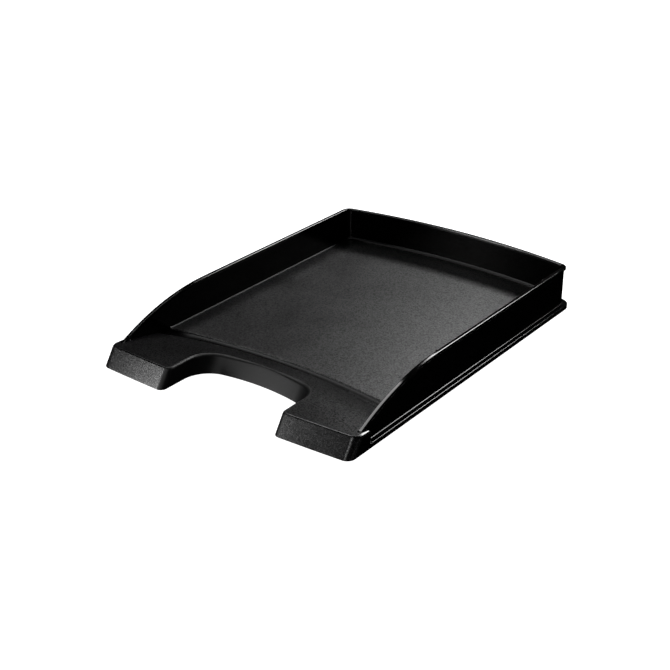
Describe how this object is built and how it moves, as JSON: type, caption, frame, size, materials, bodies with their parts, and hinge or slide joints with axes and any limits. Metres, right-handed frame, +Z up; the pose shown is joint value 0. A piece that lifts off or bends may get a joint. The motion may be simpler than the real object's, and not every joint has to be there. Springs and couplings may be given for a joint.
{
  "type": "letter tray",
  "caption": "Slim stacking letter tray for A4 paper: low floor inside three walls with a rolled rim, base flange, raised front lip with two raked ears and a finger cutout.",
  "frame": {"origin": "middle of the footprint, on the plane of the table", "axes": "+X to the right as seen from the front, +Y from the open front to the rear wall, +Z up from the table"},
  "size_m": [0.255, 0.356, 0.04],
  "materials": {
    "grained_plastic": "fine spark-eroded grain, matte black",
    "satin_plastic": "smooth satin black",
    "polished_plastic": "polished black"
  },
  "bodies": {
    "root": {"floor_panel": "grained_plastic", "front_gutter": "polished_plastic", "lip_bridge": "grained_plastic", "lip_deck_left": "grained_plastic", "lip_deck_right": "grained_plastic", "ear_deck_left": "grained_plastic", "ear_deck_right": "grained_plastic", "ear_front_left": "grained_plastic", "ear_front_right": "grained_plastic", "ear_cheek_left": "satin_plastic", "ear_cheek_right": "satin_plastic", "ear_side_left": "polished_plastic", "ear_side_right": "polished_plastic", "cutout_apron": "satin_plastic", "wall_left": "polished_plastic", "wall_right": "polished_plastic", "wall_rear": "polished_plastic", "corner_left": "polished_plastic", "corner_right": "polished_plastic", "rim_left": "polished_plastic", "rim_right": "polished_plastic", "rim_rear": "polished_plastic", "rim_corner_left": "polished_plastic", "rim_corner_right": "polished_plastic", "flange_left": "polished_plastic", "flange_right": "polished_plastic", "flange_rear": "polished_plastic", "flange_corner_left": "polished_plastic", "flange_corner_right": "polished_plastic", "stacking_nubs": "polished_plastic"}
  },
  "joints": []
}
